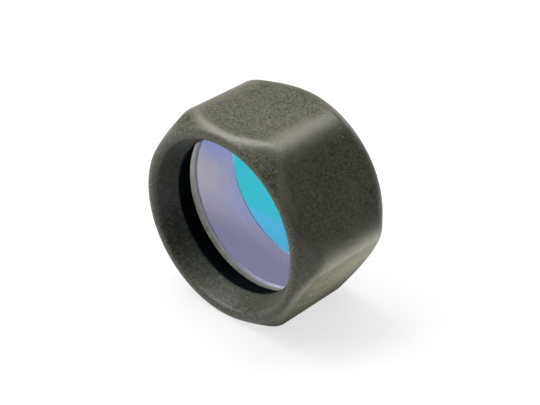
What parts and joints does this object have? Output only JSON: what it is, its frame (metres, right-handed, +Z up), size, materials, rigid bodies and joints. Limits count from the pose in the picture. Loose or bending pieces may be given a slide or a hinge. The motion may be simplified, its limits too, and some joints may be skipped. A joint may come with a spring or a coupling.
{
  "type": "flashlight colour filter",
  "caption": "Hexagonal slip-on rubber holder with a thick round disc of coated glass, stretched over a flashlight's head to colour its beam.",
  "frame": {"origin": "under the middle of the holder, on its bottom flat", "axes": "+Y along the optical axis, out of the bore that goes over the flashlight's head; the open front faces -Y; +Z up, square to the top flat; +X towards a corner of the hexagon"},
  "size_m": [0.0318, 0.0174, 0.0286],
  "materials": {
    "rubber": "fine matte moulded grain outside, smooth inside",
    "filter_glass": "polished faces with an interference coating, ground edge"
  },
  "bodies": {
    "root": {"rubber_holder": "rubber", "filter_glass": "filter_glass"}
  },
  "joints": []
}
